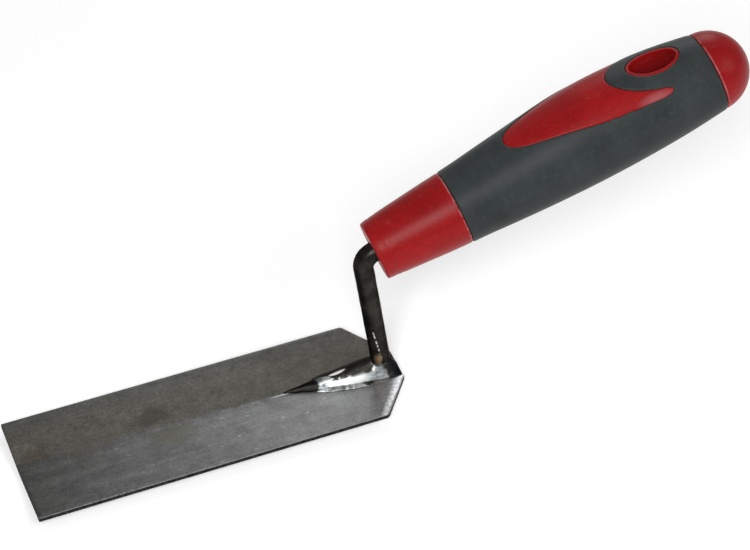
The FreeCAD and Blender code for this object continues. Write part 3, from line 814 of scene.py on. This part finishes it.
def make_weld(name, side):
    """Lumpy weld run along one side of the foot."""
    bm = bmesh.new()
    rings = []
    for x in np.linspace(WELD_START, WELD_END, 80):
        half, height = table_at(FOOT, x)
        end = min(1.0, (x - WELD_FADE_IN) / 4.0, (WELD_FADE_OUT - x) / 6.0)
        width = WELD_WIDTH + 0.3 * noise.noise(Vector((x / 3.0, side, 0.0)))
        width *= max(end, 0.05) ** 0.5
        crest = min(height * 0.5, 1.2)
        crest *= 0.9 + 0.16 * noise.noise(Vector((x / 1.3, 5.0 * side, 2.0)))
        crest *= max(end, 0.05) ** 0.6
        ring = []
        for k in range(13):
            t = k / 12.0
            y = weld_across(x, t, side, half, width, end)
            lift = crest * math.cos(t * math.pi / 2) ** 0.8
            ring.append((x, y, wing_height(y) + lift + 0.02))
        for k in range(1, 6):
            y = weld_across(x, 1.0 - k / 6.0, side, half, width, end)
            ring.append((x, y, wing_height(y) - WELD_BEDDING))
        rings.append([bm.verts.new(to_row(*p)) for p in ring])
    close_rings(bm, rings)
    obj = new_object(name, bm)
    remesh(obj, WELD_VOXEL, 4)
    dress(obj, weld_material())
    return obj


# ------------------------------------------------------------------- handle

# Handle's outside: distance along, radius, height of the centre over the axis.
SECTIONS = [(0.0, 10.6, 0.1), (8.0, 11.45, 0.2), (16.0, 12.15, 0.25), (24.0, 12.85, 0.3),
            (31.5, 13.35, 0.4), (38.0, 13.8, 0.6), (45.0, 14.45, 0.8), (62.0, 15.9, 1.4),
            (80.0, 17.1, 2.2), (98.0, 17.1, 2.2), (116.0, 16.0, 1.5), (130.5, 14.2, 0.5)]
# One side of the window's outline: distance along, distance across.
WINDOW_SIDE = [(55.4, 0.0), (56.0, 2.3), (58.4, 4.5), (63.0, 6.5), (72.0, 8.9), (80.0, 10.8), (88.0, 12.2),
               (96.0, 12.8), (104.0, 13.0), (109.0, 13.0), (112.6, 12.7), (114.2, 11.9), (113.2, 11.0),
               (108.5, 10.1), (103.0, 8.4), (99.2, 6.0), (96.6, 3.1), (95.6, 0.0)]


def natural_spline(xs, ys):
    """Second derivatives of the natural cubic spline through the points."""
    xs = np.asarray(xs, float)
    ys = np.asarray(ys, float)
    count = len(xs)
    gaps = np.diff(xs)
    matrix = np.eye(count)
    right = np.zeros(count)
    for i in range(1, count - 1):
        matrix[i, i - 1] = gaps[i - 1]
        matrix[i, i] = 2.0 * (gaps[i - 1] + gaps[i])
        matrix[i, i + 1] = gaps[i]
        right[i] = 6.0 * ((ys[i + 1] - ys[i]) / gaps[i] - (ys[i] - ys[i - 1]) / gaps[i - 1])
    return xs, ys, np.linalg.solve(matrix, right)


def evaluate(curve, x):
    """Value of a natural spline at x."""
    xs, ys, seconds = curve
    i = int(np.clip(np.searchsorted(xs, x) - 1, 0, len(xs) - 2))
    gap = xs[i + 1] - xs[i]
    a = (xs[i + 1] - x) / gap
    b = (x - xs[i]) / gap
    bend = ((a ** 3 - a) * seconds[i] + (b ** 3 - b) * seconds[i + 1]) * gap * gap / 6.0
    return a * ys[i] + b * ys[i + 1] + bend


RADIUS = natural_spline([s[0] for s in SECTIONS], [s[1] for s in SECTIONS])
RAISE = natural_spline([s[0] for s in SECTIONS], [s[2] for s in SECTIONS])


def section(a):
    """Radius and centre height of the handle at a distance along it."""
    if a <= BUTT_START:
        return evaluate(RADIUS, a), evaluate(RAISE, a)
    away = min(a - BUTT_START, BUTT_RADIUS - 1e-4)
    return math.sqrt(BUTT_RADIUS ** 2 - away ** 2), BUTT_OFFSET


def lathe(name, stations, sides=144):
    """Closed body from (along, radius, centre height) stations."""
    bm = bmesh.new()
    rings = []
    for a, radius, centre in stations:
        ring = []
        for k in range(sides):
            angle = 2.0 * math.pi * k / sides
            y = radius * math.cos(angle)
            v = centre + radius * math.sin(angle)
            ring.append(bm.verts.new(handle_to_row(a, y, v)))
        rings.append(ring)
    close_rings(bm, rings)
    return new_object(name, bm)


def span(start, end, step, extra=0.0):
    """Stations of the handle's outside between two distances, grown by extra."""
    count = max(2, int(round((end - start) / step)) + 1)
    rows = []
    for a in np.linspace(start, end, count):
        radius, centre = section(float(a))
        rows.append((float(a), radius + extra, centre))
    return rows


def prism(name, outline, low, high):
    """Upright prism in the handle frame."""
    bm = bmesh.new()
    bottom = [bm.verts.new(handle_to_row(a, y, low)) for a, y in outline]
    top = [bm.verts.new(handle_to_row(a, y, high)) for a, y in outline]
    close_rings(bm, [bottom, top])
    return new_object(name, bm)


def closed_curve(points, per_span=8):
    """Catmull-Rom curve through a closed run of points."""
    result = []
    count = len(points)
    for i in range(count):
        p = [Vector(points[(i + k) % count]) for k in (-1, 0, 1, 2)]
        slope = p[2] - p[0]
        square = 2 * p[0] - 5 * p[1] + 4 * p[2] - p[3]
        cube = 3 * p[1] - p[0] - 3 * p[2] + p[3]
        for step in range(per_span):
            t = step / per_span
            result.append(0.5 * (2 * p[1] + slope * t + square * t * t + cube * t ** 3))
    return [(p.x, p.y) for p in result]


def window_outline():
    """Outline of the red window, a little wider on its far side."""
    other = [(a, -y) for a, y in reversed(WINDOW_SIDE[1:-1])]
    outline = closed_curve(WINDOW_SIDE + other)
    return [(a, y * (WINDOW_WIDENING if y > 0 else 1.0) + WINDOW_DRIFT) for a, y in outline]


def oval_outline(length, width, sides=96):
    """Ellipse along the handle, centred on the hang hole."""
    turns = [2.0 * math.pi * k / sides for k in range(sides)]
    return [(HOLE_AT + length / 2.0 * math.cos(t), HOLE_DRIFT + width / 2.0 * math.sin(t))
            for t in turns]


def window_prisms(tag):
    """Tools for the window, on top only, and the hole's surround, right through."""
    return (prism("window_" + tag, window_outline(), 3.0, PRISM_REACH),
            prism("surround_" + tag, oval_outline(*SURROUND_SIZE), -PRISM_REACH, PRISM_REACH))


def make_grip():
    """Soft sleeve with its window and the opening round the hang hole."""
    stations = span(NOSE_LENGTH + 0.1, BUTT_START - 0.1, STATION_STEP, SEAM)
    a, radius, centre = stations[0]
    rim = [(a, radius - 0.35, centre), (a + SLEEVE_RIM, radius, centre)]
    a, radius, centre = stations[-1]
    tail = [(a - SLEEVE_RIM, radius, centre), (a, radius - SLEEVE_RIM, centre)]
    obj = lathe("grip_sleeve", rim + stations[1:-1] + tail)
    inside = lathe("inside", span(NOSE_LENGTH - 3, BUTT_START + 3, 3.0, -GRIP_WALL))
    window, surround = window_prisms("grip")
    for tool in (inside, window, surround):
        cut_out(obj, tool)
    remove(inside, window, surround)
    remesh(obj, VOXEL, 9)
    dress(obj, rubber_material())
    return obj


def nose_stations():
    """Front of the core: a rounded rim, two shallow rings and the plain cone."""
    rows = [(-0.05, 9.9, 0.0), (0.0, 10.3, 0.0), (0.25, 10.58, 0.0), (0.8, 10.65, 0.0)]
    for a in np.arange(1.6, NOSE_LENGTH - 0.2, 0.4):
        radius, centre = section(float(a))
        ring = 0.16 * math.exp(-((a - 3.4) / 0.45) ** 2)
        ring += 0.10 * math.exp(-((a - 5.4) / 0.4) ** 2)
        rows.append((float(a), radius - ring, centre))
    return rows


def make_core():
    """Red moulding: nose, window panel, hole surround, butt and the body under the sleeve."""
    rows = nose_stations()
    rows += span(NOSE_LENGTH, BUTT_START, STATION_STEP, -SEAM)
    rows += span(BUTT_START + 0.2, BUTT_START + BUTT_RADIUS - 0.02, 0.35)
    obj = lathe("handle_core_moulding", rows)
    skin = lathe("skin", span(NOSE_LENGTH, BUTT_START, STATION_STEP, 6.0))
    inside = lathe("inside", span(NOSE_LENGTH - 3, BUTT_START + 3, 3.0, -GRIP_WALL - 0.02))
    window, surround = window_prisms("core")
    for tool in (inside, window, surround):
        cut_out(skin, tool)
    cut_out(obj, skin)
    hole = prism("hole", oval_outline(*HOLE_SIZE), -PRISM_REACH, PRISM_REACH)
    cut_out(obj, hole)
    bore = ROD_RADIUS + SOCKET_GAP
    socket = lathe("socket", [(-2.0, bore, 0.0), (SOCKET_DEPTH, bore, 0.0)], 48)
    cut_out(obj, socket)
    remove(skin, inside, window, surround, hole, socket)
    remesh(obj, VOXEL, 4)
    dress(obj, red_material())
    return obj


# -------------------------------------------------------------------- stage

def make_floor():
    """Plain floor just under the part."""
    bm = bmesh.new()
    bmesh.ops.create_grid(bm, x_segments=2, y_segments=2, size=3.0)
    floor = new_object("pale_floor", bm)
    floor.location = (0.0, 0.0, -0.0002)
    dress(floor, floor_material())


def area_light(name, place, target, size, power):
    """Square softbox that points at a target."""
    light = bpy.data.lights.new(name, "AREA")
    light.shape = "SQUARE"
    light.size = size
    light.energy = power
    obj = bpy.data.objects.new(name, light)
    obj.location = place
    obj.rotation_euler = (Vector(target) - Vector(place)).to_track_quat("-Z", "Y").to_euler()
    bpy.context.scene.collection.objects.link(obj)


def make_lights():
    world = bpy.data.worlds.new("soft_room")
    world.use_nodes = True
    world.node_tree.nodes["Background"].inputs["Color"].default_value = (1.0, 1.0, 1.0, 1.0)
    world.node_tree.nodes["Background"].inputs["Strength"].default_value = 0.34
    bpy.context.scene.world = world
    area_light("key_softbox", (-0.42, -0.78, 0.86), (0, 0, 0.03), 0.45, 9.0)
    area_light("fill_softbox", (0.75, -0.65, 0.75), (0.05, 0, 0.04), 0.6, 3.0)
    area_light("back_softbox", (0.42, 0.85, 0.6), (0.05, 0, 0.02), 0.5, 2.5)
    bpy.context.scene.view_settings.view_transform = "Standard"


def make_camera():
    """Camera from its place and its right, down and ahead directions in the blade frame."""
    right = Vector((0.92792, -0.37268, -0.00901))
    down = Vector((-0.26149, -0.63347, -0.72824))
    ahead = Vector((0.2657, 0.6781, -0.68526))
    place = to_row(-97.1, -584.4, 637.5)
    camera = bpy.data.cameras.new("camera")
    camera.sensor_width = 36.0
    camera.lens = 120.0
    camera.clip_start = 0.01
    obj = bpy.data.objects.new("camera", camera)
    obj.matrix_world = Matrix((
        (right.x, -down.x, -ahead.x, place.x),
        (right.y, -down.y, -ahead.y, place.y),
        (right.z, -down.z, -ahead.z, place.z),
        (0.0, 0.0, 0.0, 1.0),
    ))
    bpy.context.scene.collection.objects.link(obj)
    bpy.context.scene.camera = obj


PIECES = [
    (make_blade, (), "blade", "blade_steel"),
    (make_tang, (), "tang", "forged_steel"),
    (make_weld, ("weld_run_near", -1), "foot_weld_near", "weld_metal"),
    (make_weld, ("weld_run_far", 1), "foot_weld_far", "weld_metal"),
    (make_core, (), "handle_core", "red_plastic"),
    (make_grip, (), "grip_overmould", "grey_rubber"),
]

for maker, words, node, slot in PIECES:
    piece = maker(*words)
    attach(piece, "root")
    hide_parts(node)

make_floor()
make_lights()
make_camera()
